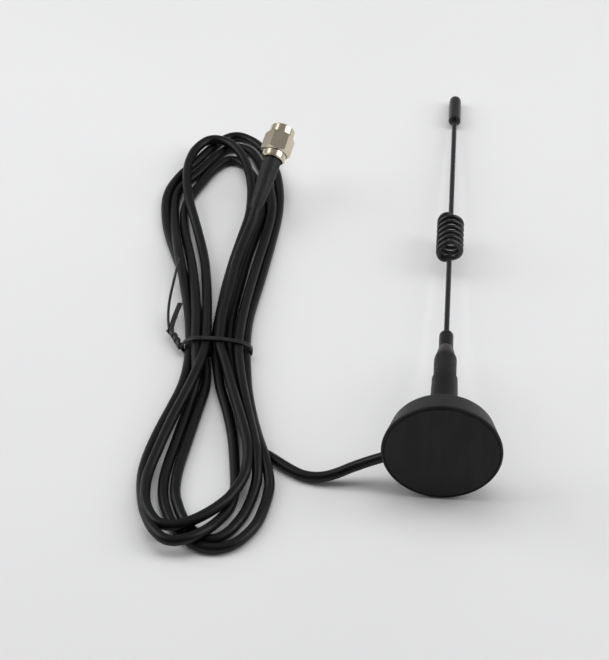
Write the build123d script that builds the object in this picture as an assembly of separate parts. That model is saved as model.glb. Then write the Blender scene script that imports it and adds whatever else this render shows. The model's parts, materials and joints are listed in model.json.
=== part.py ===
from build123d import *
import math
import os

# Magnet-base whip antenna lying on its side, with its coax lead tied in a hank.
# Row frame, millimetres: +Z up, floor at z = 0, +Y from the magnet base to the whip's tip.
# The origin is under the middle of the antenna itself (without its lead).

# ---- driving dimensions ---------------------------------------------------------------

# base, measured along the mast axis from the magnet face
BASE_R = 15.6
BASE_BACK_R = 13.3
BASE_THICK = 8.0
RIM_EDGE_R = 0.6
BACK_EDGE_R = 1.3
SHELL_INNER_R = 11.6
COVER_R = 14.8
COVER_THICK = 0.6
MAGNET_R = 12.2
MAGNET_THICK = 2.6
PLATE_THICK = 0.4
ROOF_AT = 6.6

# mast and whip, measured the same way
NECK_BASE_R = 4.8
NECK_R = 3.42
NECK_TOP = 29.5
SLEEVE_R = 3.05
SLEEVE_SHOULDER = 37.3
SLEEVE_TOP = 38.5
SLEEVE_END_R = 2.75
SLEEVE_WALL = 0.45
COLLAR_FOOT_R = 2.55
COLLAR_R = 1.95
COLLAR_TOP = 42.2
FERRULE_R = 1.9
FERRULE_TOP = 48.9
SOCKET_R = 2.0
SOCKET_BOTTOM = 4.9
SOCKET_TOP = 36.0
BUSH_R = 2.6
WIRE_R = 0.675
ROD_FOOT = 30.0
COIL_BOTTOM = 86.4
COIL_TURNS = 5.52
COIL_HEIGHT = 15.5
COIL_OUTER_R = 4.0
COIL_KNEE_R = 1.0
COIL_STEM = 1.6
CAP_R = 1.9
CAP_BOTTOM = 157.5
WHIP_TIP = 172.6
CAP_EDGE_R = 1.4
ROD_TOP = 168.0

# coax lead
CORD_R = 1.4
EXIT_AT = 5.05
EXIT_BELOW_LEVEL_DEG = 25.0
GROMMET_R = 2.0
GROMMET_BORE_R = 1.46
GROMMET_INNER_END = 12.25
LEAD_IN_BASE = 7.0
CORE_R = 0.3

# row frame: where the magnet face sits along Y, so that the antenna's box is centred
FACE_Y = -86.2

# route of the lead from the base to the hank, and of the strand that leaves the hank
LEAD_ROUTE = [
    (-20.6, -81.935, 5.621),
    (-28.6, -84.3, 2.2),
    (-36.8, -83.5, 1.4),
    (-43.6, -78.6, 1.4),
    (-48.0, -70.6, 1.6),
    (-50.4, -61.6, 2.4),
]
TAIL_ROUTE = [
    (-62.3, -18.6, 5.4),
    (-61.4, -6.6, 5.6),
    (-59.7, 5.4, 6.1),
    (-58.1, 14.9, 8.3),
]

# hank: outline of the two lobes on the floor, either side of the tied waist
HANK_THICK = 6.1
TIE_Y = -39.4
TIE_WIDTH = 1.6
TIE_THICK = 0.7
WAIST_X = (-72.0, -53.8)
WAIST_Z = (0.7, 6.0)
WAIST_HALF = 4.0
FAR_LOBE = [
    (-75.4, -19.6),
    (-82.0, 0.4),
    (-87.6, 20.4),
    (-84.5, 40.4),
    (-77.0, 54.4),
    (-67.5, 60.9),
    (-57.5, 52.9),
    (-51.2, 32.4),
    (-51.6, 8.4),
    (-53.4, -15.6),
]
NEAR_LOBE = [
    (-50.2, -60.6),
    (-43.8, -82.6),
    (-43.0, -98.6),
    (-52.0, -112.4),
    (-66.0, -111.1),
    (-76.0, -99.1),
    (-77.2, -77.6),
    (-73.4, -57.6),
]
FAR_HOLE = [
    (-65.9, -21.6),
    (-71.3, 3.5),
    (-77.4, 26.1),
    (-72.0, 42.4),
    (-65.6, 43.4),
    (-61.9, 22.6),
    (-64.4, -2.2),
]
NEAR_HOLE = [
    (-62.9, -52.2),
    (-55.4, -78.1),
    (-55.0, -92.5),
    (-63.4, -99.6),
    (-66.0, -90.0),
    (-65.0, -72.6),
]

# twist tie's loose ends
TWIST_FROM = (-73.8, -40.0, 3.2)
TWIST_TO = (-77.2, -33.9, 2.4)
TWIST_R = 1.15
LONG_TAIL = [
    (-77.6, -32.9, 2.6),
    (-79.0, -24.0, 3.4),
    (-79.5, -15.0, 5.2),
    (-78.8, -6.6, 7.4),
]
LONG_TAIL_R = 0.45
SHORT_TAIL_FROM = (-76.5, -32.2, 2.7)
SHORT_TAIL_TO = (-75.5, -23.2, 4.0)
SHORT_TAIL_SIZE = (1.6, 0.5)

# coax plug, measured along its axis from the cable end of its sleeve
PLUG_AIM = (6.2, 25.2, 11.7)
PLUG_SLEEVE_LEN = 17.4
PLUG_SLEEVE_R = 2.3
PLUG_SLEEVE_FERRULE_R = 2.85
FERRULE_FROM = 10.0
CRIMP_R = 2.35
JACKET_END = 11.6
FLANGE_R = 3.6
FLANGE_TOP = 19.5
BARREL_R = 2.6
MATING_PLANE = 24.6
SHROUD_R = 2.25
SHROUD_FROM = 23.8
SHROUD_BORE_R = 1.95
STEM_BORE_R = 0.8
PIN_R = 0.46
PIN_ROOT_R = 0.63
PIN_TIP = 27.2
NUT_FROM = 19.6
NUT_TO = 28.6
NUT_FLATS = 8.0
NUT_HEX_TO = 25.9
NUT_NOSE_R = 3.75
NUT_LIP_TO = 20.9
NUT_TURN_DEG = -18.4
NUT_RUNNING_GAP = 0.06
THREAD_CREST_R = 2.9
THREAD_ROOT_R = 3.17
THREAD_PITCH = 0.7056
THREAD_FROM = 22.6
RING_FROM = 21.1
RING_TO = 21.7
RING_R = 2.95
RING_GROOVE_R = 2.2


# ---- derived placement ----------------------------------------------------------------

def lean_angle():
    """Lean of the mast axis when the base's rim and the tip cap both touch the floor."""
    drop = (BASE_R - RIM_EDGE_R) - (CAP_R - CAP_EDGE_R)
    reach = (WHIP_TIP - CAP_EDGE_R) - RIM_EDGE_R
    edges = RIM_EDGE_R - CAP_EDGE_R
    return math.atan2(drop, reach) + math.asin(edges / math.hypot(drop, reach))


LEAN = lean_angle()
FACE_Z = (BASE_R - RIM_EDGE_R) * math.cos(LEAN) + RIM_EDGE_R + RIM_EDGE_R * math.sin(LEAN)
MAST = Pos(0, FACE_Y, FACE_Z) * Rot(-90 - math.degrees(LEAN), 0, 0)


def rim_radius(along):
    """Radius of the base's tapered rim at a distance from the magnet face."""
    return BASE_R + (BASE_BACK_R - BASE_R) * along / BASE_THICK


EXIT_TURN = 180 - EXIT_BELOW_LEVEL_DEG
EXIT = MAST * Pos(0, 0, EXIT_AT) * Rot(0, 0, EXIT_TURN) * Rot(0, 90, 0)
EXIT_POINT = (EXIT * Pos(0, 0, rim_radius(EXIT_AT))).position

PLUG_PLANE = Plane(origin=TAIL_ROUTE[-1], z_dir=PLUG_AIM)
PLUG = PLUG_PLANE.location
COIL_TOP = COIL_BOTTOM + COIL_HEIGHT


# ---- helpers --------------------------------------------------------------------------

def turned(points):
    """Solid of revolution about the local Z axis from (radius, along) points."""
    outline = Polyline(*[(r, 0, z) for r, z in points], close=True)
    return revolve(make_face(outline), Axis.Z)


def tube(inner, outer, start, end):
    """Plain round tube, or rod where the inner radius is zero."""
    return turned([(inner, start), (outer, start), (outer, end), (inner, end)])


def arc_radii(points):
    """Largest tangent arc for each corner of a cord's route."""
    radii = []
    for before, here, after in zip(points, points[1:], points[2:]):
        run_in = Vector(*here) - Vector(*before)
        run_out = Vector(*after) - Vector(*here)
        turn = math.radians(run_in.get_angle(run_out))
        radii.append(0.45 * min(run_in.length, run_out.length) / math.tan(turn / 2))
    return radii


def cord_tube(points, radius):
    """Round tube along straight runs joined by tangent arcs."""
    radii = arc_radii(points)
    path = FilletPolyline(*points, radius=radii)
    start = Plane(origin=path @ 0, z_dir=path % 0)
    solid = sweep(start * Circle(radius), path=path)
    exact = math.pi * radius**2 * path.length
    print("arc radii", [round(r, 1) for r in radii])
    print("tube length", round(path.length, 1), "volume over exact", round(solid.volume / exact, 4))
    return solid


def save(shape, node):
    export_step(shape, f"parts/{node}.step")


# ---- base -----------------------------------------------------------------------------

def base_housing():
    """Moulded shell, open on the magnet side, with the cable hole in its rim."""
    body = turned([(0, 0), (BASE_R, 0), (BASE_BACK_R, BASE_THICK), (0, BASE_THICK)])
    edges = body.edges().filter_by(GeomType.CIRCLE).sort_by(SortBy.RADIUS)
    body = fillet(edges[-1], RIM_EDGE_R)
    edges = body.edges().filter_by(GeomType.CIRCLE).filter_by_position(Axis.Z, BASE_THICK, BASE_THICK)
    body = fillet(edges, BACK_EDGE_R)
    body -= tube(0, COVER_R, 0, COVER_THICK)
    body -= tube(0, MAGNET_R, COVER_THICK, COVER_THICK + MAGNET_THICK + PLATE_THICK)
    body -= tube(0, SHELL_INNER_R, COVER_THICK, ROOF_AT)
    body -= tube(0, BUSH_R, ROOF_AT, BASE_THICK)
    hole = Pos(0, 0, EXIT_AT) * Rot(0, 0, EXIT_TURN) * Rot(0, 90, 0) * tube(0, GROMMET_R, GROMMET_INNER_END - 1, 16)
    return body - hole


def cable_grommet():
    """Soft bush in the rim, cut flush with the tapered rim."""
    bush = Rot(0, 90, 0) * tube(GROMMET_BORE_R, GROMMET_R, GROMMET_INNER_END, 16)
    bush = Pos(0, 0, EXIT_AT) * Rot(0, 0, EXIT_TURN) * bush
    keep = turned([(0, 0), (BASE_R, 0), (BASE_BACK_R, BASE_THICK), (0, BASE_THICK)])
    return bush & keep


def magnet():
    start = COVER_THICK
    return turned([
        (0, start),
        (MAGNET_R - 0.3, start),
        (MAGNET_R, start + 0.3),
        (MAGNET_R, start + MAGNET_THICK),
        (0, start + MAGNET_THICK),
    ])


def ground_plate():
    start = COVER_THICK + MAGNET_THICK
    return tube(0, MAGNET_R, start, start + PLATE_THICK)


def cover_disc():
    """Plain thin disc that closes the magnet side, a hair below the rim."""
    return turned([(0, 0), (COVER_R - 0.25, 0), (COVER_R - 0.05, 0.2), (COVER_R - 0.05, COVER_THICK), (0, COVER_THICK)])


def insulator_bush():
    """Nylon bush that holds the whip socket in the roof, with a flange below it."""
    flange = 3.6
    return turned([
        (SOCKET_R, ROOF_AT - 0.8),
        (flange, ROOF_AT - 0.8),
        (flange, ROOF_AT),
        (BUSH_R, ROOF_AT),
        (BUSH_R, NECK_TOP),
        (SOCKET_R, NECK_TOP),
    ])


def whip_socket():
    """Brass socket, bored from above for the whip's wire, with a solder cup below."""
    body = tube(0, SOCKET_R, SOCKET_BOTTOM, SOCKET_TOP)
    return body - tube(0, WIRE_R, ROD_FOOT, SOCKET_TOP)


def lead_end():
    """Cable inside the base, from the grommet's inner end to where it is stripped."""
    inside = tube(0, CORD_R, LEAD_IN_BASE, GROMMET_INNER_END)
    return Pos(0, 0, EXIT_AT) * Rot(0, 0, EXIT_TURN) * Rot(0, 90, 0) * inside


def core_wire():
    """Stripped centre conductor, from the cable's end to the socket."""
    wire = tube(0, CORE_R, SOCKET_R, LEAD_IN_BASE)
    return Pos(0, 0, EXIT_AT) * Rot(0, 0, EXIT_TURN) * Rot(0, 90, 0) * wire


def braid_clip():
    """Folded braid under the stripped cable, pressed down on the ground plate."""
    floor = COVER_THICK + MAGNET_THICK + PLATE_THICK
    return Rot(0, 0, EXIT_TURN) * Pos(5.4, 0, floor + 0.45) * Box(2.4, 3.2, 0.9)


# ---- mast and whip --------------------------------------------------------------------

def mast_neck():
    """Tapered neck moulding around the insulator bush."""
    return turned([
        (BUSH_R, BASE_THICK),
        (NECK_BASE_R, BASE_THICK),
        (NECK_BASE_R - 0.5, BASE_THICK + 2.2),
        (NECK_R + 0.22, BASE_THICK + 12),
        (NECK_R, NECK_TOP - 0.4),
        (NECK_R - 0.3, NECK_TOP),
        (BUSH_R, NECK_TOP),
    ])


def neck_sleeve():
    """Heat-shrink sleeve over the socket, necked down on the collar."""
    wall = SLEEVE_WALL
    return turned([
        (SOCKET_R, NECK_TOP),
        (SLEEVE_R, NECK_TOP),
        (SLEEVE_R, SLEEVE_SHOULDER - 0.8),
        (SLEEVE_R - 0.12, SLEEVE_SHOULDER),
        (SLEEVE_END_R + 0.06, SLEEVE_TOP - 0.7),
        (SLEEVE_END_R, SLEEVE_TOP),
        (SLEEVE_END_R - wall, SLEEVE_TOP),
        (SLEEVE_END_R - wall, SLEEVE_TOP - 1.0),
        (SOCKET_R, SOCKET_TOP),
    ])


def whip_collar():
    """Light tubing on the wire between the sleeve and the crimped ferrule."""
    return turned([
        (WIRE_R, SOCKET_TOP),
        (SOCKET_R - 0.2, SOCKET_TOP),
        (SLEEVE_END_R - SLEEVE_WALL, SLEEVE_TOP - 1.0),
        (SLEEVE_END_R - SLEEVE_WALL, SLEEVE_TOP),
        (COLLAR_FOOT_R, SLEEVE_TOP),
        (COLLAR_R, COLLAR_TOP),
        (WIRE_R, COLLAR_TOP),
    ])


def whip_ferrule():
    return turned([
        (WIRE_R, COLLAR_TOP),
        (FERRULE_R, COLLAR_TOP),
        (FERRULE_R, FERRULE_TOP - 0.8),
        (FERRULE_R - 0.25, FERRULE_TOP - 0.25),
        (FERRULE_R - 0.7, FERRULE_TOP),
        (WIRE_R, FERRULE_TOP),
    ])


def whip_spring():
    """Open-wound coil of the whip wire, its ends led back to the axis."""
    mean_r = COIL_OUTER_R - WIRE_R
    helix = Helix(COIL_HEIGHT / COIL_TURNS, COIL_HEIGHT, mean_r)
    start = Plane(origin=helix @ 0, z_dir=helix % 0)
    coil = sweep(start * Circle(WIRE_R), path=helix, is_frenet=True)
    for end, outward in ((helix @ 0, -1), (helix @ 1, 1)):
        stem = (0, 0, end.Z + outward * COIL_STEM)
        path = FilletPolyline(stem, (0, 0, end.Z), tuple(end), radius=COIL_KNEE_R)
        lead = sweep(Plane(origin=path @ 0, z_dir=path % 0) * Circle(WIRE_R), path=path)
        coil += lead + Pos(*end) * Sphere(WIRE_R * 1.06)
    return Pos(0, 0, COIL_BOTTOM) * Rot(0, 0, 180) * coil


def tip_cap():
    """Blind plastic cap, rounded at the tip and chamfered at its mouth."""
    steps = 5
    dome = []
    for i in range(steps + 1):
        a = math.radians(90 * i / steps)
        dome.append((CAP_R - CAP_EDGE_R * (1 - math.cos(a)), WHIP_TIP - CAP_EDGE_R * (1 - math.sin(a))))
    return turned(
        [(WIRE_R, CAP_BOTTOM), (CAP_R - 0.45, CAP_BOTTOM), (CAP_R, CAP_BOTTOM + 1.3)]
        + dome
        + [(0, WHIP_TIP), (0, ROD_TOP), (WIRE_R, ROD_TOP)]
    )


# ---- lead, hank and tie ---------------------------------------------------------------

def cord_hank():
    """Outer shape of the tied hank: two open lobes joined by the waist in the tie."""
    y_far = TIE_Y + WAIST_HALF
    y_near = TIE_Y - WAIST_HALF
    left, right = WAIST_X
    far = Spline((left, y_far), *FAR_LOBE, (right, y_far))
    near = Spline((right, y_near), *NEAR_LOBE, (left, y_near))
    sides = Line((right, y_far), (right, y_near)) + Line((left, y_near), (left, y_far))
    solid = extrude(make_face(far + near + sides), HANK_THICK)
    for hole in (FAR_HOLE, NEAR_HOLE):
        rim = Spline(*hole) + Line(hole[-1], hole[0])
        solid -= extrude(make_face(rim), HANK_THICK)
    return solid - (waist_block(20, 20) - waist_block(0, 0))


def waist_block(grow, deep):
    """Rounded block that fills the waist's section, as long as the tie is wide."""
    width = WAIST_X[1] - WAIST_X[0] + 2 * grow
    height = WAIST_Z[1] - WAIST_Z[0] + 2 * deep
    centre = ((WAIST_X[0] + WAIST_X[1]) / 2, TIE_Y - TIE_WIDTH / 2, (WAIST_Z[0] + WAIST_Z[1]) / 2)
    corner = 1.8 + min(grow, deep)
    section = RectangleRounded(width, height, corner)
    plane = Plane(origin=centre, x_dir=(1, 0, 0), z_dir=(0, 1, 0))
    return extrude(plane * section, TIE_WIDTH)


def tie_twist():
    """Twisted pair of the tie's ends, as one round core."""
    start = Vector(*TWIST_FROM)
    aim = Vector(*TWIST_TO) - start
    core = Plane(origin=start, z_dir=aim) * Pos(0, 0, aim.length / 2)
    return core * Cylinder(TWIST_R, aim.length)


def tie_tail_short():
    start = Vector(*SHORT_TAIL_FROM)
    aim = Vector(*SHORT_TAIL_TO) - start
    strip = Plane(origin=start, x_dir=(1, 0, 0.2), z_dir=aim) * Pos(0, 0, aim.length / 2)
    return strip * Box(*SHORT_TAIL_SIZE, aim.length)


# ---- coax plug ------------------------------------------------------------------------

def plug_sleeve():
    """Heat-shrink over the crimp ferrule and the end of the cable."""
    step = FERRULE_FROM
    return turned([
        (CORD_R, 0),
        (PLUG_SLEEVE_R - 0.3, 0),
        (PLUG_SLEEVE_R, 1.0),
        (PLUG_SLEEVE_R, step - 1.5),
        (PLUG_SLEEVE_FERRULE_R, step + 1.5),
        (PLUG_SLEEVE_FERRULE_R, PLUG_SLEEVE_LEN),
        (CRIMP_R, PLUG_SLEEVE_LEN),
        (CRIMP_R, step),
        (CORD_R, step),
    ])


def crimp_ferrule():
    return tube(CORD_R, CRIMP_R, FERRULE_FROM, PLUG_SLEEVE_LEN)


def plug_body():
    """Stem, flange, barrel with the ring's groove, and the shroud at the mating plane."""
    return turned([
        (STEM_BORE_R, JACKET_END),
        (CORD_R, JACKET_END),
        (CORD_R, PLUG_SLEEVE_LEN),
        (FLANGE_R - 0.4, PLUG_SLEEVE_LEN),
        (FLANGE_R, PLUG_SLEEVE_LEN + 0.4),
        (FLANGE_R, FLANGE_TOP),
        (BARREL_R, FLANGE_TOP),
        (BARREL_R, RING_FROM),
        (RING_GROOVE_R, RING_FROM),
        (RING_GROOVE_R, RING_TO),
        (BARREL_R, RING_TO),
        (BARREL_R, SHROUD_FROM),
        (SHROUD_R, SHROUD_FROM),
        (SHROUD_R, MATING_PLANE),
        (SHROUD_BORE_R, MATING_PLANE),
        (SHROUD_BORE_R, RING_TO),
        (STEM_BORE_R, RING_TO - 1.0),
    ])


def plug_dielectric():
    return turned([
        (PIN_ROOT_R, RING_TO - 1.0),
        (STEM_BORE_R, RING_TO - 1.0),
        (SHROUD_BORE_R, RING_TO),
        (SHROUD_BORE_R, MATING_PLANE),
        (PIN_ROOT_R, MATING_PLANE),
    ])


def plug_pin():
    return turned([
        (0, JACKET_END + 0.5),
        (PIN_ROOT_R, JACKET_END + 0.5),
        (PIN_ROOT_R, MATING_PLANE),
        (PIN_R, MATING_PLANE),
        (PIN_R, PIN_TIP - 0.3),
        (PIN_R - 0.25, PIN_TIP),
        (0, PIN_TIP),
    ])


def plug_gasket():
    return tube(SHROUD_R, BARREL_R + 0.15, SHROUD_FROM, SHROUD_FROM + 0.5)


def plug_ring():
    """Split retaining ring in the barrel's groove."""
    ring = tube(RING_GROOVE_R, RING_R, RING_FROM, RING_TO)
    return ring - Pos(RING_R, 0, (RING_FROM + RING_TO) / 2) * Box(2, 0.8, 2)


def plug_nut():
    """Hexagonal coupling nut with a round nose, ring recess and internal thread."""
    length = NUT_HEX_TO - NUT_FROM
    hexagon = Rot(0, 0, NUT_TURN_DEG) * extrude(RegularPolygon(NUT_FLATS / 2, 6, major_radius=False), length)
    corner = NUT_FLATS / math.sqrt(3)
    skin = turned([
        (0, NUT_FROM),
        (corner - 0.75, NUT_FROM),
        (corner, NUT_FROM + 0.6),
        (corner, NUT_HEX_TO - 0.9),
        (NUT_NOSE_R, NUT_HEX_TO),
        (0, NUT_HEX_TO),
    ])
    solid = (Pos(0, 0, NUT_FROM) * hexagon) & skin
    solid += turned([
        (0, NUT_HEX_TO - 0.5),
        (NUT_NOSE_R, NUT_HEX_TO - 0.5),
        (NUT_NOSE_R, NUT_TO - 0.5),
        (NUT_NOSE_R - 0.5, NUT_TO),
        (0, NUT_TO),
    ])
    bore = [(0, NUT_FROM - 1), (BARREL_R + NUT_RUNNING_GAP, NUT_FROM - 1)]
    bore += [(BARREL_R + NUT_RUNNING_GAP, NUT_LIP_TO), (THREAD_ROOT_R, NUT_LIP_TO), (THREAD_ROOT_R, THREAD_FROM)]
    turns = int((NUT_TO - THREAD_FROM - 0.3) / THREAD_PITCH)
    for i in range(turns):
        foot = THREAD_FROM + i * THREAD_PITCH
        bore += [(THREAD_CREST_R, foot + THREAD_PITCH / 2), (THREAD_ROOT_R, foot + THREAD_PITCH)]
    bore += [(THREAD_ROOT_R + 0.1, NUT_TO + 1), (0, NUT_TO + 1)]
    return solid - turned(bore)


# ---- build ----------------------------------------------------------------------------

os.makedirs("parts", exist_ok=True)

mast_parts = {
    "base_housing": base_housing(),
    "cable_grommet": cable_grommet(),
    "cover_disc": cover_disc(),
    "magnet": magnet(),
    "ground_plate": ground_plate(),
    "insulator_bush": insulator_bush(),
    "whip_socket": whip_socket(),
    "lead_end": lead_end(),
    "core_wire": core_wire(),
    "braid_clip": braid_clip(),
    "mast_neck": mast_neck(),
    "neck_sleeve": neck_sleeve(),
    "whip_collar": whip_collar(),
    "whip_ferrule": whip_ferrule(),
    "whip_lower": tube(0, WIRE_R, ROD_FOOT, COIL_BOTTOM - COIL_STEM),
    "whip_spring": whip_spring(),
    "whip_upper": tube(0, WIRE_R, COIL_TOP + COIL_STEM, ROD_TOP),
    "tip_cap": tip_cap(),
}
plug_parts = {
    "plug_sleeve": plug_sleeve(),
    "crimp_ferrule": crimp_ferrule(),
    "plug_body": plug_body(),
    "plug_dielectric": plug_dielectric(),
    "plug_pin": plug_pin(),
    "plug_gasket": plug_gasket(),
    "plug_ring": plug_ring(),
    "plug_nut": plug_nut(),
}

for node, shape in mast_parts.items():
    save(MAST * shape, node)
for node, shape in plug_parts.items():
    save(PLUG * shape, node)

plug_axis = PLUG_PLANE.z_dir
jacket_end = PLUG_PLANE.origin + plug_axis * JACKET_END
lead_start = (EXIT * Pos(0, 0, GROMMET_INNER_END)).position
save(cord_tube([tuple(lead_start)] + LEAD_ROUTE, CORD_R), "lead_tube")
save(cord_tube(TAIL_ROUTE + [tuple(jacket_end)], CORD_R), "tail_tube")
save(cord_hank(), "cord_hank")
save(waist_block(TIE_THICK, TIE_THICK) - waist_block(0, 0), "tie_band")
save(tie_twist(), "tie_twist")
save(cord_tube(LONG_TAIL, LONG_TAIL_R), "tie_tail_long")
save(tie_tail_short(), "tie_tail_short")

antenna = Compound([MAST * shape for shape in mast_parts.values()])
box = antenna.bounding_box()
print("lean", round(math.degrees(LEAN), 3), "face height", round(FACE_Z, 3))
print("antenna box", box.min, box.max, "middle y", round((box.min.Y + box.max.Y) / 2, 3))
print("exit point", EXIT_POINT)
print("plug axis", plug_axis, "origin", PLUG_PLANE.origin)
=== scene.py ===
"""Omnidirectional antenna with its coiled lead: the Blender model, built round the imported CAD."""
import json
import math

import bpy
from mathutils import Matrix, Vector


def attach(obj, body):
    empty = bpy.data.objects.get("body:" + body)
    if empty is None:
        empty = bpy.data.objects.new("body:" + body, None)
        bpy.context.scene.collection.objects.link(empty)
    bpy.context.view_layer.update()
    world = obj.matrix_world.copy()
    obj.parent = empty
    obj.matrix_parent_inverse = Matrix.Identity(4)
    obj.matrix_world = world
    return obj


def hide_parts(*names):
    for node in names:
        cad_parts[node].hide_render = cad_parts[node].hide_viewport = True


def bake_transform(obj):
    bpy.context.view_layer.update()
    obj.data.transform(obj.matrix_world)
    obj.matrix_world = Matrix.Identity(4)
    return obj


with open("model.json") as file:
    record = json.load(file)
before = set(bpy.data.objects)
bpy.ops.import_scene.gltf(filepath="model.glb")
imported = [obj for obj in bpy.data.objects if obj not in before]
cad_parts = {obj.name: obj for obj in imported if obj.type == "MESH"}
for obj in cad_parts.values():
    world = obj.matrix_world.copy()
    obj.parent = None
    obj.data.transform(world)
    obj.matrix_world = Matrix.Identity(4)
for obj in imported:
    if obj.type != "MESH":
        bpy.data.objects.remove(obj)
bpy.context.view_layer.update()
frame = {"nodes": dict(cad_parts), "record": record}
MM = 0.001


def mm(point):
    """A point given in millimetres, in metres."""
    return Vector(point) * MM


# ---------------------------------------------------------------- camera, floor and lights

CAMERA_AT = (-7.96, -397.71, 347.0)
CAMERA_AIM = (-39.74, -26.97, 0.0)
CAMERA_LENS = 98.2


def aimed(obj, place, aim):
    """Puts obj at place, looking at aim, both in millimetres."""
    obj.location = mm(place)
    obj.rotation_euler = (mm(aim) - mm(place)).to_track_quat("-Z", "Y").to_euler()
    bpy.context.scene.collection.objects.link(obj)
    return obj


def make_camera():
    data = bpy.data.cameras.new("Camera")
    data.lens = CAMERA_LENS
    data.clip_start = 0.01
    camera = aimed(bpy.data.objects.new("Camera", data), CAMERA_AT, CAMERA_AIM)
    bpy.context.scene.camera = camera


def soft_light(name, place, aim, width, depth, watts, colour=(1.0, 1.0, 1.0)):
    """An area light of width by depth metres."""
    data = bpy.data.lights.new(name, "AREA")
    data.shape = "RECTANGLE"
    data.size = width
    data.size_y = depth
    data.energy = watts
    data.color = colour
    return aimed(bpy.data.objects.new(name, data), place, aim)


def make_lights():
    middle = (-30.0, -20.0, 0.0)
    soft_light("Light_left", (-620.0, 60.0, 430.0), middle, 0.45, 0.60, 2.3)
    soft_light("Light_right", (600.0, 40.0, 460.0), middle, 0.40, 0.60, 2.5)
    top = soft_light("Light_top", (-20.0, 160.0, 800.0), middle, 0.70, 0.50, 2.7)
    # Kept out of reflections, so that the nut's upper flat stays darker than its flanks.
    top.visible_glossy = False
    make_world()
    bpy.context.scene.view_settings.view_transform = "Standard"


def make_world():
    """A pale studio, bright behind and above the object and dim on the near side."""
    world = bpy.data.worlds.new("Studio")
    world.use_nodes = True
    tree = world.node_tree
    back = tree.nodes["Background"]
    back.inputs["Strength"].default_value = 0.36
    way = tree.nodes.new("ShaderNodeTexCoord")
    split = tree.nodes.new("ShaderNodeSeparateXYZ")
    depth = tree.nodes.new("ShaderNodeMapRange")
    depth.inputs["From Min"].default_value = -0.75
    depth.inputs["From Max"].default_value = 0.1
    tones = tree.nodes.new("ShaderNodeValToRGB")
    tones.color_ramp.elements[0].color = (0.13, 0.12, 0.13, 1.0)
    tones.color_ramp.elements[1].color = (0.93, 0.94, 0.95, 1.0)
    tree.links.new(way.outputs["Generated"], split.inputs["Vector"])
    tree.links.new(split.outputs["Y"], depth.inputs["Value"])
    tree.links.new(depth.outputs["Result"], tones.inputs["Fac"])
    tree.links.new(tones.outputs["Color"], back.inputs["Color"])
    bpy.context.scene.world = world


# ---------------------------------------------------------------- materials


class Finish:
    """A principled material and short ways to wire its detail."""

    def __init__(self, name, colour, rough, metal=0.0):
        self.mat = bpy.data.materials.new(name)
        self.mat.use_nodes = True
        self.tree = self.mat.node_tree
        self.bsdf = self.tree.nodes["Principled BSDF"]
        self.put("Base Color", (*colour, 1.0))
        self.put("Roughness", rough)
        self.put("Metallic", metal)
        self.where = self.node("ShaderNodeTexCoord").outputs["Object"]
        self.normal = None

    def put(self, socket, value):
        self.bsdf.inputs[socket].default_value = value
        return self

    def node(self, kind, **values):
        made = self.tree.nodes.new(kind)
        for key, value in values.items():
            setattr(made, key, value)
        return made

    def link(self, out, into):
        self.tree.links.new(out, into)

    def noise(self, scale, detail=3.0, stretch=(1.0, 1.0, 1.0)):
        """A noise of this many features a metre, 0 to 1, stretched along the axes."""
        place = self.node("ShaderNodeMapping")
        place.inputs["Scale"].default_value = stretch
        self.link(self.where, place.inputs["Vector"])
        noise = self.node("ShaderNodeTexNoise")
        noise.inputs["Scale"].default_value = scale
        noise.inputs["Detail"].default_value = detail
        self.link(place.outputs["Vector"], noise.inputs["Vector"])
        return noise.outputs["Fac"]

    def spread(self, value, low, high):
        """value, mapped from 0.3..0.7 to low..high."""
        ranged = self.node("ShaderNodeMapRange")
        ranged.inputs["From Min"].default_value = 0.3
        ranged.inputs["From Max"].default_value = 0.7
        ranged.inputs["To Min"].default_value = low
        ranged.inputs["To Max"].default_value = high
        self.link(value, ranged.inputs["Value"])
        return ranged.outputs["Result"]

    def tones(self, value, *stops):
        """Base colour from value, by (position, colour) stops."""
        ramp = self.node("ShaderNodeValToRGB")
        while len(ramp.color_ramp.elements) < len(stops):
            ramp.color_ramp.elements.new(0.5)
        for element, (position, colour) in zip(ramp.color_ramp.elements, stops):
            element.position = position
            element.color = (*colour, 1.0)
        self.link(value, ramp.inputs["Fac"])
        self.link(ramp.outputs["Color"], self.bsdf.inputs["Base Color"])
        return self

    def rough(self, value, low, high):
        self.link(self.spread(value, low, high), self.bsdf.inputs["Roughness"])
        return self

    def bump(self, value, height, strength=1.0):
        """Raises the surface by value times height metres."""
        bump = self.node("ShaderNodeBump")
        bump.inputs["Strength"].default_value = strength
        bump.inputs["Distance"].default_value = height
        self.link(value, bump.inputs["Height"])
        if self.normal is not None:
            self.link(self.normal, bump.inputs["Normal"])
        self.normal = bump.outputs["Normal"]
        self.link(self.normal, self.bsdf.inputs["Normal"])
        return self


def base_plastic():
    """Moulded black plastic with a fine spark-eroded texture."""
    f = Finish("Base_plastic", (0.008, 0.008, 0.0085), 0.5)
    f.put("Specular IOR Level", 0.27)
    f.tones(f.noise(140.0), (0.3, (0.0065, 0.0065, 0.007)), (0.7, (0.010, 0.010, 0.0105)))
    f.rough(f.noise(2600.0, 2.0), 0.40, 0.56)
    return f.bump(f.noise(5200.0, 2.0), 0.00003, 0.5).mat


def cover_film():
    """Thin matte film over the magnet, with faint handling marks."""
    f = Finish("Cover_film", (0.009, 0.009, 0.0095), 0.55)
    f.put("Specular IOR Level", 0.25)
    f.tones(f.noise(60.0), (0.3, (0.0075, 0.0075, 0.008)), (0.7, (0.010, 0.010, 0.0105)))
    f.rough(f.noise(420.0, 4.0, (1.0, 1.0, 0.15)), 0.46, 0.62)
    return f.bump(f.noise(3600.0, 2.0), 0.00002, 0.35).mat


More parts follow.
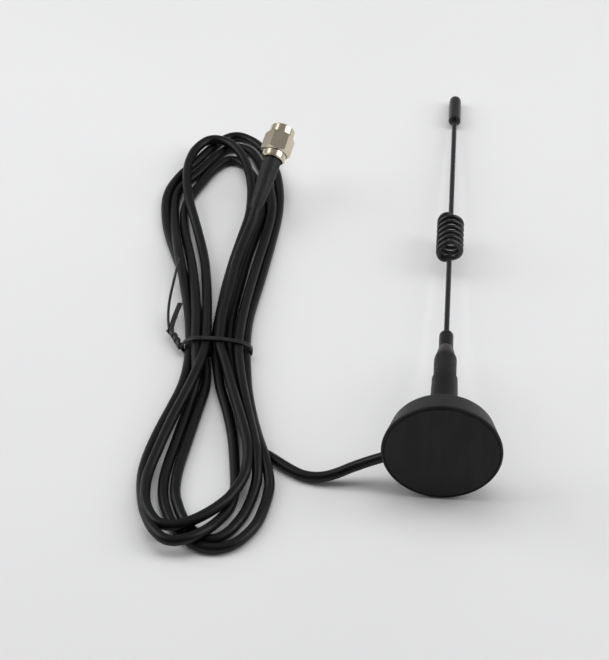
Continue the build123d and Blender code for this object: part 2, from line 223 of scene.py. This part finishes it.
def heat_shrink():
    """Matte shrunk tubing: soft long wrinkles and a dusty bloom."""
    f = Finish("Heat_shrink", (0.010, 0.010, 0.0105), 0.52)
    f.put("Specular IOR Level", 0.33)
    f.tones(f.noise(260.0), (0.3, (0.008, 0.008, 0.0085)), (0.7, (0.013, 0.013, 0.0135)))
    f.rough(f.noise(900.0), 0.44, 0.62)
    f.bump(f.noise(700.0, 2.0, (1.0, 0.2, 1.0)), 0.00006, 0.5)
    return f.bump(f.noise(4200.0, 2.0), 0.00002, 0.4).mat


def collar_tubing():
    """Thin, slightly translucent grey tubing."""
    f = Finish("Collar_tubing", (0.034, 0.034, 0.032), 0.40)
    f.put("Subsurface Weight", 0.08)
    f.tones(f.noise(500.0), (0.3, (0.024, 0.024, 0.023)), (0.7, (0.044, 0.044, 0.042)))
    return f.bump(f.noise(2500.0, 2.0), 0.00002, 0.4).mat


def cord_jacket():
    """Satin PVC jacket, with the faint ripple of the braid below."""
    f = Finish("Cord_jacket", (0.0042, 0.0042, 0.0045), 0.34)
    f.put("Specular IOR Level", 0.28)
    f.tones(f.noise(90.0), (0.3, (0.003, 0.003, 0.0033)), (0.7, (0.0055, 0.0055, 0.0058)))
    f.rough(f.noise(700.0), 0.34, 0.48)
    return f.bump(f.noise(2400.0, 2.0), 0.00002, 0.3).mat


def whip_coating():
    """Glossy black dip coating on spring wire, a little uneven along it."""
    f = Finish("Whip_coating", (0.010, 0.010, 0.011), 0.24)
    f.put("Specular IOR Level", 0.5)
    f.tones(f.noise(300.0), (0.3, (0.006, 0.006, 0.007)), (0.7, (0.010, 0.010, 0.011)))
    f.rough(f.noise(240.0, 1.0), 0.26, 0.32)
    return f.bump(f.noise(200.0, 0.0), 0.00001, 0.1).mat


def black_cap():
    """Moulded cap, glossy but finely scuffed."""
    f = Finish("Black_cap", (0.011, 0.011, 0.012), 0.33)
    f.tones(f.noise(220.0), (0.3, (0.009, 0.009, 0.010)), (0.7, (0.015, 0.015, 0.016)))
    f.rough(f.noise(1900.0, 4.0), 0.26, 0.42)
    return f.bump(f.noise(3000.0, 2.0), 0.00002, 0.3).mat


def black_ferrule():
    """Painted crimp ferrule, its paint a little uneven."""
    f = Finish("Black_ferrule", (0.008, 0.008, 0.008), 0.42)
    f.put("Specular IOR Level", 0.3)
    f.tones(f.noise(400.0), (0.3, (0.006, 0.006, 0.006)), (0.7, (0.011, 0.011, 0.011)))
    f.rough(f.noise(1500.0), 0.30, 0.46)
    return f.bump(f.noise(2600.0, 2.0), 0.00003, 0.4).mat


def rubber(name, colour, light, rough):
    f = Finish(name, colour, rough)
    f.tones(f.noise(500.0), (0.3, colour), (0.7, light))
    f.rough(f.noise(1800.0), rough - 0.08, rough + 0.08)
    return f.bump(f.noise(4200.0, 2.0), 0.00003, 0.4).mat


def tie_plastic():
    """Plastic-coated tie wire: satin, with a drawn ripple."""
    f = Finish("Tie_plastic", (0.012, 0.012, 0.012), 0.36)
    f.put("Specular IOR Level", 0.4)
    f.tones(f.noise(350.0), (0.3, (0.009, 0.009, 0.009)), (0.7, (0.017, 0.017, 0.017)))
    f.rough(f.noise(1600.0), 0.28, 0.44)
    return f.bump(f.noise(2200.0, 2.0), 0.00004, 0.4).mat


def plated(name, dark, light, rough, lines=(1.0, 1.0, 1.0)):
    """Plated or turned metal: tone clouds, and turning marks stretched by lines."""
    f = Finish(name, light, rough, 1.0)
    f.tones(f.noise(160.0), (0.3, dark), (0.7, light))
    f.rough(f.noise(900.0, 3.0, lines), rough - 0.04, rough + 0.05)
    return f.bump(f.noise(2600.0, 1.0, lines), 0.000006, 0.2).mat


def white_plastic(name, dark, light):
    f = Finish(name, light, 0.45)
    f.put("Subsurface Weight", 0.1)
    f.tones(f.noise(400.0), (0.3, dark), (0.7, light))
    return f.bump(f.noise(2600.0, 2.0), 0.00002, 0.3).mat


def node_materials():
    """The finish of each material slot in the record."""
    nickel = plated("Champagne_nickel", (0.62, 0.54, 0.41), (0.70, 0.62, 0.48), 0.22)
    return {
        "base_plastic": base_plastic(),
        "cover_film": cover_film(),
        "magnet_plating": plated("Magnet_plating", (0.50, 0.50, 0.48), (0.66, 0.66, 0.64), 0.22),
        "plate_steel": plated("Plate_steel", (0.42, 0.42, 0.42), (0.58, 0.58, 0.57), 0.34, (0.1, 1.0, 1.0)),
        "nylon": white_plastic("Natural_nylon", (0.70, 0.68, 0.61), (0.80, 0.79, 0.74)),
        "brass": plated("Turned_brass", (0.60, 0.44, 0.20), (0.76, 0.60, 0.32), 0.26),
        "copper": plated("Bare_copper", (0.60, 0.28, 0.16), (0.74, 0.42, 0.27), 0.28),
        "braid": plated("Tinned_braid", (0.46, 0.44, 0.40), (0.68, 0.66, 0.62), 0.36),
        "heat_shrink": heat_shrink(),
        "ferrule_black": black_ferrule(),
        "whip_wire": whip_coating(),
        "cap_plastic": black_cap(),
        "grommet_rubber": rubber("Grommet_rubber", (0.014, 0.014, 0.015), (0.022, 0.022, 0.023), 0.6),
        "jacket": cord_jacket(),
        "tie_plastic": tie_plastic(),
        "connector_nickel": nickel,
        "ptfe": white_plastic("White_ptfe", (0.80, 0.80, 0.78), (0.90, 0.90, 0.88)),
        "gold": plated("Gold_contact", (0.74, 0.53, 0.22), (0.86, 0.67, 0.33), 0.2),
        "gasket_rubber": rubber("Gasket_rubber", (0.25, 0.05, 0.03), (0.36, 0.09, 0.06), 0.5),
    }


def paint_nodes(finishes):
    """Gives every CAD node its slot's finish."""
    for subpart in frame["record"]["subparts"]:
        node = frame["nodes"][subpart["node"]]
        node.data.materials.clear()
        node.data.materials.append(finishes[subpart["material_slot"]])


def pale_floor():
    f = Finish("Floor_paper", (0.80, 0.80, 0.80), 0.9)
    f.put("Specular IOR Level", 0.1)
    f.tones(f.noise(9.0), (0.3, (0.79, 0.79, 0.795)), (0.7, (0.81, 0.81, 0.815)))
    return f.bump(f.noise(1800.0), 0.00002, 0.2).mat


def make_floor():
    mesh = bpy.data.meshes.new("Floor")
    reach = 6.0
    corners = [(-reach, -reach, 0.0), (reach, -reach, 0.0), (reach, reach, 0.0), (-reach, reach, 0.0)]
    mesh.from_pydata(corners, [], [(0, 1, 2, 3)])
    floor = bpy.data.objects.new("Floor", mesh)
    mesh.materials.append(pale_floor())
    bpy.context.scene.collection.objects.link(floor)


# ---------------------------------------------------------------- the cord


CORD_RADIUS = 1.4
CORD_EXIT = (-12.823, -81.645, 9.236)
LEAD = [
    (-20.6, -81.94, 5.62),
    (-28.6, -84.3, 2.2),
    (-34.6, -84.0, 1.4),
    (-38.9, -81.7, 1.4),
    (-43.6, -78.3, 1.4),
    (-48.0, -75.3, 1.4),
    (-51.0, -72.4, 1.4),
    (-53.2, -66.5, 1.4),
    (-54.9, -59.5, 1.4),
    (-56.5, -51.5, 1.4),
    (-58.2, -44.5, 1.8),
]
# Four turns of the hank, side by side in each table: what one turn does, the next does a strand over.
TIE_Y = -39.4
RIGHT_AT_TIE = [(-59.6, 2.1), (-55.1, 2.1), (-57.1, 4.1), (-63.6, 2.1)]
LEFT_AT_TIE = [(-69.0, 4.4), (-67.3, 2.1), (-70.6, 2.1), (-66.0, 4.6)]
# Runs: y, then x and height for each turn.
FAR_RIGHT = [
    (-32, (-60.4, 2.1), (-55.6, 2.1), (-57.4, 4.1), (-64.1, 2.1)),
    (-24, (-60.6, 1.7), (-55.7, 1.6), (-57.2, 3.9), (-64.0, 1.7)),
    (-12, (-59.9, 1.4), (-54.4, 1.4), (-56.3, 3.7), (-63.8, 1.4)),
    (0, (-59.1, 1.4), (-53.3, 1.4), (-55.2, 3.5), (-62.9, 1.4)),
    (11, (-57.8, 1.4), (-52.4, 1.4), (-54.0, 3.5), (-61.6, 1.4)),
    (21, (-56.0, 1.4), (-51.8, 1.4), (-53.5, 3.5), (-60.3, 1.6)),
]
FAR_LEFT = [
    (22, (-80.7, 1.4), (-86.4, 1.4), (-83.6, 1.5), (-78.8, 4.1)),
    (11, (-78.9, 1.5), (-84.1, 1.4), (-81.9, 2.5), (-75.0, 2.9)),
    (0, (-75.8, 2.4), (-79.9, 1.4), (-79.3, 4.0), (-71.6, 1.9)),
    (-10, (-73.4, 3.6), (-75.7, 1.4), (-76.6, 3.3), (-69.7, 2.7)),
    (-20, (-71.5, 4.2), (-71.5, 1.5), (-74.0, 2.4), (-68.2, 3.8)),
    (-30, (-69.9, 4.3), (-68.3, 1.9), (-71.8, 2.1), (-66.9, 4.4)),
]
NEAR_LEFT = [
    (-46, (-67.8, 3.7), (-65.2, 1.6), (-70.3, 1.6), (-66.4, 5.0)),
    (-53, (-67.1, 2.5), (-64.4, 1.4), (-70.7, 1.4), (-67.5, 5.0)),
    (-60, (-68.0, 1.5), (-65.1, 1.4), (-72.2, 1.4), (-69.2, 4.5)),
    (-68, (-68.9, 1.4), (-66.0, 1.4), (-74.2, 1.4), (-71.3, 4.2)),
    (-76, (-69.9, 1.4), (-66.9, 1.4), (-75.9, 1.4), (-72.9, 4.0)),
    (-84, (-70.9, 1.4), (-67.8, 1.4), (-76.9, 1.4), (-74.5, 3.4)),
]
NEAR_RIGHT = [
    (-86, (-43.7, 2.2), (-46.8, 3.2), (-52.6, 1.4), (-49.6, 4.9)),
    (-79, (-45.9, 3.9), (-47.8, 5.1), (-53.7, 1.6), (-49.9, 5.8)),
    (-72, (-48.2, 2.4), (-49.6, 4.4), (-54.9, 1.8), (-51.9, 6.0)),
    (-63, (-50.8, 1.4), (-52.1, 3.9), (-57.3, 2.0), (-54.8, 5.7)),
    (-54, (-53.0, 1.4), (-54.4, 3.9), (-60.5, 2.0), (-57.7, 5.2)),
    (-46, (-54.2, 1.6), (-56.1, 4.1), (-62.2, 2.1), (-60.0, 4.9)),
]
# Loops: the angle round the loop's centre, then radius and height for each turn.
FAR_CENTRE = (-70.0, 30.0)
FAR_LOOP = [
    (0, (12.3, 1.4), (17.9, 1.4), (15.2, 2.9), (9.3, 2.8)),
    (30, (12.1, 1.4), (18.9, 1.4), (15.4, 2.2), (9.7, 3.8)),
    (45, (12.6, 1.4), (20.8, 1.4), (16.6, 1.8), (10.9, 4.1)),
    (60, (14.2, 1.4), (24.0, 1.4), (19.4, 1.4), (13.1, 4.3)),
    (75, (17.0, 1.4), (28.4, 1.4), (23.9, 1.4), (17.1, 4.4)),
    (90, (17.8, 1.4), (30.9, 1.4), (24.4, 1.4), (22.6, 4.4)),
    (105, (13.6, 1.4), (23.8, 1.4), (18.2, 1.4), (25.2, 4.3)),
    (120, (10.7, 1.4), (18.7, 1.4), (14.3, 1.4), (21.2, 4.2)),
    (135, (9.0, 1.4), (16.8, 1.4), (12.7, 1.4), (16.5, 4.2)),
    (150, (8.3, 1.4), (16.2, 1.4), (12.5, 1.4), (13.3, 4.2)),
    (180, (8.8, 1.4), (16.7, 1.4), (13.9, 1.4), (10.7, 4.2)),
]
NEAR_CENTRE = (-61.0, -90.0)
NEAR_LOOP = [
    (180, (10.0, 1.4), (6.8, 1.4), (15.6, 1.6), (14.3, 3.2)),
    (210, (10.5, 1.4), (7.2, 1.4), (16.1, 2.7), (15.5, 3.8)),
    (225, (11.4, 1.4), (7.8, 1.4), (17.5, 3.4), (16.6, 4.1)),
    (240, (13.3, 1.4), (9.2, 1.4), (19.9, 4.1), (17.9, 4.2)),
    (255, (15.7, 1.4), (11.7, 1.4), (22.1, 4.4), (16.4, 4.2)),
    (270, (18.7, 1.4), (15.2, 1.4), (19.5, 4.3), (13.4, 4.2)),
    (285, (21.0, 1.4), (18.4, 1.4), (15.7, 3.4), (11.4, 4.2)),
    (300, (21.2, 1.4), (17.1, 1.4), (12.5, 2.1), (10.2, 4.2)),
    (315, (19.8, 1.4), (15.3, 1.4), (10.8, 1.6), (9.6, 4.2)),
    (330, (18.7, 1.4), (14.3, 1.4), (9.8, 1.4), (9.5, 4.2)),
    (360, (17.6, 1.4), (13.9, 1.8), (8.8, 1.4), (10.4, 4.4)),
]
TAIL = [
    (-62.5, -39.4, 4.7),
    (-62.4, -35.5, 4.9),
    (-62.8, -30.0, 5.2),
    (-62.3, -23.3, 5.3),
    (-61.8, -15.6, 5.4),
    (-61.4, -5.4, 5.6),
    (-59.7, 5.4, 6.1),
    (-58.4, 10.5, 7.0),
    (-58.1, 14.9, 8.3),
]
PLUG_FOOT = Vector((-58.1, 14.9, 8.3))
PLUG_AXIS = Vector((0.217796, 0.885236, 0.411002))
CORD_INTO_PLUG = 11.6


def run(rows, turn):
    return [(row[1 + turn][0], row[0], row[1 + turn][1]) for row in rows]


def loop(rows, centre, turn):
    points = []
    for row in rows:
        angle = math.radians(row[0])
        radius, height = row[1 + turn]
        x = centre[0] + radius * math.cos(angle)
        y = centre[1] + radius * math.sin(angle)
        points.append((x, y, height))
    return points


def one_turn(turn):
    """One turn of the hank, from the tie up round the far loop and back round the near one."""
    right_x, right_z = RIGHT_AT_TIE[turn]
    left_x, left_z = LEFT_AT_TIE[turn]
    points = [(right_x, TIE_Y, right_z)]
    points += run(FAR_RIGHT, turn)
    points += loop(FAR_LOOP, FAR_CENTRE, turn)
    points += run(FAR_LEFT, turn)
    points += [(left_x, TIE_Y, left_z)]
    points += run(NEAR_LEFT, turn)
    points += loop(NEAR_LOOP, NEAR_CENTRE, turn)
    points += run(NEAR_RIGHT, turn)
    return points


def smooth_curve(name, points, radius):
    """One NURBS spline through the control points, in millimetres, with a round section."""
    data = bpy.data.curves.new(name, "CURVE")
    data.dimensions = "3D"
    data.resolution_u = 10
    data.bevel_depth = radius * MM
    data.bevel_resolution = 8
    data.use_fill_caps = True
    spline = data.splines.new("NURBS")
    spline.points.add(len(points) - 1)
    for control, point in zip(spline.points, points):
        control.co = (*mm(point), 1.0)
    spline.order_u = 3
    spline.use_endpoint_u = True
    obj = bpy.data.objects.new(name, data)
    bpy.context.scene.collection.objects.link(obj)
    return obj


def make_cord(finishes):
    points = [CORD_EXIT] + LEAD
    for turn in range(len(RIGHT_AT_TIE)):
        points += one_turn(turn)
    points += TAIL
    points.append(tuple(PLUG_FOOT + PLUG_AXIS * CORD_INTO_PLUG))
    cord = smooth_curve("Cord", points, CORD_RADIUS)
    cord.data.materials.append(finishes["jacket"])
    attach(cord, "antenna")
    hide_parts("lead_tube", "tail_tube", "cord_hank")
    return cord


# ---------------------------------------------------------------- shapes along a line


def read_line(points, cyclic=False, steps=8):
    """The points of the NURBS line that the control points, in millimetres, give."""
    data = bpy.data.curves.new("Line", "CURVE")
    data.dimensions = "3D"
    data.resolution_u = steps
    spline = data.splines.new("NURBS")
    spline.points.add(len(points) - 1)
    for control, point in zip(spline.points, points):
        control.co = (*mm(point), 1.0)
    spline.order_u = 3
    spline.use_cyclic_u = cyclic
    spline.use_endpoint_u = not cyclic
    line = bpy.data.objects.new("Line", data)
    bpy.context.scene.collection.objects.link(line)
    mesh = bpy.data.meshes.new_from_object(line.evaluated_get(bpy.context.evaluated_depsgraph_get()))
    found = [vertex.co.copy() for vertex in mesh.vertices]
    bpy.data.objects.remove(line)
    bpy.data.meshes.remove(mesh)
    return found


def tangents(line, cyclic):
    """The unit direction of the line at each of its points."""
    found = []
    last = len(line) - 1
    for i in range(len(line)):
        before = line[i - 1] if i > 0 or cyclic else line[i]
        after = line[i + 1] if i < last else (line[0] if cyclic else line[i])
        found.append((after - before).normalized())
    return found


def skin(name, rings, closed, finish, capped=True):
    """A mesh over rings of points, all of the same count."""
    count = len(rings[0])
    points = [point for ring in rings for point in ring]
    faces = []
    spans = len(rings) if closed else len(rings) - 1
    for i in range(spans):
        here = i * count
        there = (i + 1) % len(rings) * count
        for j in range(count):
            k = (j + 1) % count
            faces.append((here + j, here + k, there + k, there + j))
    if capped and not closed:
        faces.append(tuple(reversed(range(count))))
        faces.append(tuple(range(len(points) - count, len(points))))
    mesh = bpy.data.meshes.new(name)
    mesh.from_pydata(points, [], faces)
    mesh.polygons.foreach_set("use_smooth", [True] * len(mesh.polygons))
    mesh.validate()
    mesh.materials.append(finish)
    obj = bpy.data.objects.new(name, mesh)
    bpy.context.scene.collection.objects.link(obj)
    return obj


def section(width, thick, corners=16, square=3.2):
    """A rounded oblong as (across, up) offsets in metres."""
    found = []
    for i in range(corners):
        angle = 2 * math.pi * i / corners
        c = math.cos(angle)
        s = math.sin(angle)
        across = math.copysign(abs(c) ** (2 / square), c) * width / 2
        up = math.copysign(abs(s) ** (2 / square), s) * thick / 2
        found.append((across * MM, up * MM))
    return found


def ribbon(name, line, flat, width, thick, finish, cyclic=False, ends=1.0, square=3.2):
    """A flat strip along the line; flat is the direction of its width, or a list of them."""
    outline = section(width, thick, square=square)
    along = tangents(line, cyclic)
    rings = []
    for i, point in enumerate(line):
        wide = Vector(flat[i] if isinstance(flat, list) else flat)
        wide = (wide - along[i] * wide.dot(along[i])).normalized()
        up = along[i].cross(wide)
        size = ends if not cyclic and i in (0, len(line) - 1) else 1.0
        rings.append([point + wide * (across * size) + up * (rise * size) for across, rise in outline])
    return skin(name, rings, cyclic, finish)


def pipe(name, line, radius, finish, sides=16):
    """A round bar along the line, its section carried without twist."""
    along = tangents(line, False)
    wide = along[0].orthogonal().normalized()
    rings = []
    for point, way in zip(line, along):
        wide = (wide - way * wide.dot(way)).normalized()
        up = way.cross(wide)
        ring = []
        for i in range(sides):
            angle = 2 * math.pi * i / sides
            ring.append(point + (wide * math.cos(angle) + up * math.sin(angle)) * (radius * MM))
        rings.append(ring)
    return skin(name, rings, False, finish)


def lathe(name, place, profile, finish, sides=72, uneven=0.0):
    """A body turned about an axis. place(across, up, along) gives the point; profile is (radius, along)."""
    line = read_line([(radius, along, 0.0) for radius, along in profile], steps=6)
    rings = []
    for point in line:
        radius = point.x / MM
        along = point.y / MM
        ring = []
        for i in range(sides):
            angle = 2 * math.pi * i / sides
            wave = math.sin(3 * angle + 0.7 * along) + 0.6 * math.sin(5 * angle - 1.1 * along)
            r = radius * (1.0 + uneven * wave)
            ring.append(place(r * math.cos(angle), r * math.sin(angle), along))
        rings.append(ring)
    return skin(name, rings, False, finish)


def settle(obj, body, slot_name, *nodes):
    """obj rides the body and stands for the nodes, whose CAD parts it hides; slot_name is not used."""
    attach(obj, body)
    if nodes:
        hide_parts(*nodes)
    return obj


# ---------------------------------------------------------------- mast and whip


def mount(name):
    found = [m for m in frame["record"]["mounts"] if m["name"] == name][0]
    return Vector(found["pos_m"]), Vector(found["axis"]).normalized()


FACE_AT, FACE_OUT = mount("magnet_face")
MAST_UP = Vector((1.0, 0.0, 0.0)).cross(-FACE_OUT)


def on_mast(across, up, along):
    """A point off the mast's axis, along millimetres from the magnet face."""
    return FACE_AT - FACE_OUT * (along * MM) + Vector((1.0, 0.0, 0.0)) * (across * MM) + MAST_UP * (up * MM)


SLEEVE = [
    (2.05, 29.5), (3.0, 29.5), (3.05, 29.6), (3.05, 29.9), (3.04, 33.5), (3.05, 36.2), (3.05, 37.0),
    (3.01, 37.5), (2.9, 38.0), (2.8, 38.35), (2.72, 38.48), (2.5, 38.5), (2.2, 38.5), (2.2, 37.9),
]
COLLAR = [
    (2.2, 38.0), (2.2, 38.5), (2.5, 38.5), (2.55, 38.6), (2.5, 39.4), (2.3, 40.6), (2.05, 41.7),
    (1.97, 42.1), (1.93, 42.2), (1.7, 42.2), (0.75, 42.2),
]
FERRULE = [
    (0.72, 42.2), (1.9, 42.2), (1.97, 42.28), (1.97, 43.4), (1.94, 43.6), (1.94, 44.0), (1.97, 44.2),
    (1.97, 47.1), (1.93, 47.8), (1.68, 48.35), (1.15, 48.5), (0.72, 48.5),
]
TIP_CAP = [
    (0.66, 158.2), (1.78, 158.2), (1.88, 158.32), (1.9, 158.7), (1.9, 166.0), (1.9, 169.2),
    (1.84, 170.5), (1.5, 171.45), (0.8, 171.75), (0.02, 171.75),
]


ROD_RADIUS = 0.75
ROD_OVERLAP = 0.1
ROD_SPANS = 24
ROD_SIDES = 28
ROD_FOOT = 30.0
ROD_TOP = 168.0


def make_mast(finishes):
    sleeve = lathe("Mast_sleeve", on_mast, SLEEVE, finishes["heat_shrink"], uneven=0.004)
    settle(sleeve, "antenna", "heat_shrink", "neck_sleeve")
    collar = lathe("Mast_collar", on_mast, COLLAR, collar_tubing())
    settle(collar, "antenna", "heat_shrink", "whip_collar")
    ferrule = lathe("Mast_ferrule", on_mast, FERRULE, finishes["ferrule_black"])
    settle(ferrule, "antenna", "ferrule_black", "whip_ferrule")
    cap = lathe("Whip_cap", on_mast, TIP_CAP, finishes["cap_plastic"], uneven=0.003)
    settle(cap, "whip_top", "cap_plastic", "tip_cap")
    lower = make_rod("Whip_rod_lower", ROD_FOOT, COIL_FROM - COIL_STEM + ROD_OVERLAP, finishes)
    settle(lower, "antenna", "whip_wire", "whip_lower")
    upper = make_rod("Whip_rod_upper", COIL_TO + COIL_STEM - ROD_OVERLAP, ROD_TOP, finishes)
    settle(upper, "whip_top", "whip_wire", "whip_upper")


def make_rod(name, low, high, finishes):
    """A straight length of the coated wire on the mast's axis."""
    line = [on_mast(0.0, 0.0, low + (high - low) * i / ROD_SPANS) for i in range(ROD_SPANS + 1)]
    return pipe(name, line, ROD_RADIUS, finishes["whip_wire"], ROD_SIDES)


# The wire of the coil. Its two ends come back to the axis within COIL_STEM.
WIRE_RADIUS = 0.71
COIL_RADIUS = 3.325
COIL_FROM = 86.4
COIL_TO = 101.9
COIL_TURNS = 6.02
COIL_STEM = 1.6
POINTS_A_TURN = 16


def coil_points():
    """Control points of the coil: up the axis, out to the left, round, and back to the axis."""
    points = [on_coil(0.0, 0.0, COIL_FROM - COIL_STEM), on_coil(0.0, 0.0, COIL_FROM - 0.9)]
    points += [on_coil(0.35, 65.0, COIL_FROM - 0.35), on_coil(1.6, 85.0, COIL_FROM - 0.35)]
    points += [on_coil(2.8, 115.0, COIL_FROM - 0.3), on_coil(3.3, 145.0, COIL_FROM - 0.2)]
    steps = round(COIL_TURNS * POINTS_A_TURN)
    for i in range(steps + 1):
        part = i / steps
        angle = 180.0 + 360.0 * COIL_TURNS * part
        points.append(on_coil(COIL_RADIUS * 1.01, angle, COIL_FROM + (COIL_TO - COIL_FROM) * part))
    end = 180.0 + 360.0 * COIL_TURNS
    points += [on_coil(3.3, end + 35.0, COIL_TO + 0.2), on_coil(2.8, end + 65.0, COIL_TO + 0.3)]
    points += [on_coil(1.6, end + 95.0, COIL_TO + 0.35), on_coil(0.35, end + 115.0, COIL_TO + 0.35)]
    points += [on_coil(0.0, 0.0, COIL_TO + 0.9), on_coil(0.0, 0.0, COIL_TO + COIL_STEM)]
    return points


def on_coil(radius, degrees, along):
    angle = math.radians(degrees)
    return on_mast(radius * math.cos(angle), -radius * math.sin(angle), along) / MM


def make_coil(finishes):
    coil = pipe("Whip_coil", read_line(coil_points(), steps=3), WIRE_RADIUS, finishes["whip_wire"], 20)
    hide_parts("whip_spring")
    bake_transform(coil)
    return coil


# ---------------------------------------------------------------- plug


PLUG_SIDE = PLUG_AXIS.cross(Vector((0.0, 0.0, 1.0))).normalized()
PLUG_UP = PLUG_SIDE.cross(PLUG_AXIS).normalized()


def on_plug(across, up, along):
    return mm(PLUG_FOOT + PLUG_AXIS * along + PLUG_SIDE * across + PLUG_UP * up)


PLUG_SLEEVE = [
    (1.41, 0.3), (1.42, 0.0), (1.47, 0.0), (1.55, 0.3), (1.74, 1.3), (1.92, 2.4), (2.06, 3.7), (2.16, 5.2),
    (2.27, 7.0), (2.38, 8.4), (2.5, 9.8), (2.6, 11.8), (2.68, 14.2), (2.75, 16.4), (2.73, 17.1),
    (2.6, 17.35), (2.42, 17.38), (2.37, 17.0),
]


def make_plug(finishes):
    sleeve = lathe("Plug_sleeve", on_plug, PLUG_SLEEVE, finishes["heat_shrink"], uneven=0.007)
    settle(sleeve, "antenna", "heat_shrink", "plug_sleeve")
    return [sleeve]


# ---------------------------------------------------------------- twist tie


BAND = [
    (-73.1, TIE_Y, 2.5), (-72.5, TIE_Y, 3.9), (-71.3, TIE_Y, 5.4), (-69.0, TIE_Y, 6.3),
    (-64.6, TIE_Y, 6.45), (-61.0, TIE_Y, 6.4), (-57.8, TIE_Y, 5.95), (-55.0, TIE_Y, 5.2),
    (-53.4, TIE_Y, 3.9), (-53.2, TIE_Y, 1.7), (-54.4, TIE_Y, 0.4), (-58.0, TIE_Y, 0.3),
    (-63.0, TIE_Y, 0.3), (-68.0, TIE_Y, 0.3), (-71.2, TIE_Y, 0.4), (-72.5, TIE_Y, 1.2),
]
TWIST = [
    (-73.0, -39.6, 2.5), (-74.0, -38.0, 2.5), (-75.0, -36.0, 2.5), (-76.2, -34.2, 2.5), (-77.4, -32.6, 2.5),
]
LONG_TAIL = [
    (-77.3, -32.9, 2.6), (-77.9, -30.6, 2.8), (-78.5, -26.5, 3.3), (-78.8, -21.0, 3.7), (-78.5, -15.5, 4.7),
    (-78.0, -10.5, 6.4), (-77.6, -7.5, 7.4),
]
SHORT_TAIL = [(-76.8, -33.0, 2.6), (-76.8, -30.5, 2.7), (-76.4, -27.5, 3.1), (-75.5, -23.2, 4.0)]


BAND_SIZE = (1.45, 0.6)
TWIST_SIZE = (1.3, 0.85)
TWIST_TURNS = 1.6
TWIST_OFFSET = 0.55
LONG_TAIL_SIZE = (0.75, 0.7)
SHORT_TAIL_SIZE = (1.45, 0.5)
# How square a strip's section is: 2 is an ellipse.
ROUNDED = 2.4
SQUARED = 5.0


def make_tie(finishes):
    finish = finishes["tie_plastic"]
    across = (0.0, 1.0, 0.0)
    band = ribbon("Tie_band", read_line(BAND, cyclic=True), across, *BAND_SIZE, finish, cyclic=True)
    settle(band, "antenna", "tie_plastic", "tie_band")
    middle = read_line(TWIST, steps=12)
    way = tangents(middle, False)
    side = way[0].orthogonal().normalized()
    pieces = [band]
    for strand in (0, 1):
        line = []
        for i, point in enumerate(middle):
            side = (side - way[i] * side.dot(way[i])).normalized()
            up = way[i].cross(side)
            angle = math.pi * strand + 2 * math.pi * TWIST_TURNS * i / (len(middle) - 1)
            line.append(point + (side * math.cos(angle) + up * math.sin(angle)) * (TWIST_OFFSET * MM))
        flat = [(line[i] - middle[i]).cross(way[i]) for i in range(len(line))]
        twist = ribbon(f"Tie_twist_{strand + 1}", line, flat, *TWIST_SIZE, finish, square=ROUNDED)
        if strand == 0:
            settle(twist, "antenna", "tie_plastic", "tie_twist")
        else:
            settle(twist, "antenna", "tie_plastic")
        pieces.append(twist)
    line = read_line(LONG_TAIL)
    tail = ribbon("Tie_tail_long", line, (1.0, 0.0, 0.2), *LONG_TAIL_SIZE, finish, square=ROUNDED)
    pieces.append(settle(tail, "antenna", "tie_plastic", "tie_tail_long"))
    line = read_line(SHORT_TAIL)
    tail = ribbon("Tie_tail_short", line, (1.0, 0.0, 0.15), *SHORT_TAIL_SIZE, finish, square=SQUARED)
    pieces.append(settle(tail, "antenna", "tie_plastic", "tie_tail_short"))
    return pieces


# ---------------------------------------------------------------- the whole


make_camera()
make_lights()
make_floor()
finishes = node_materials()
paint_nodes(finishes)
make_mast(finishes)
make_coil(finishes)
on_cord = make_plug(finishes) + make_tie(finishes)
make_cord(finishes)
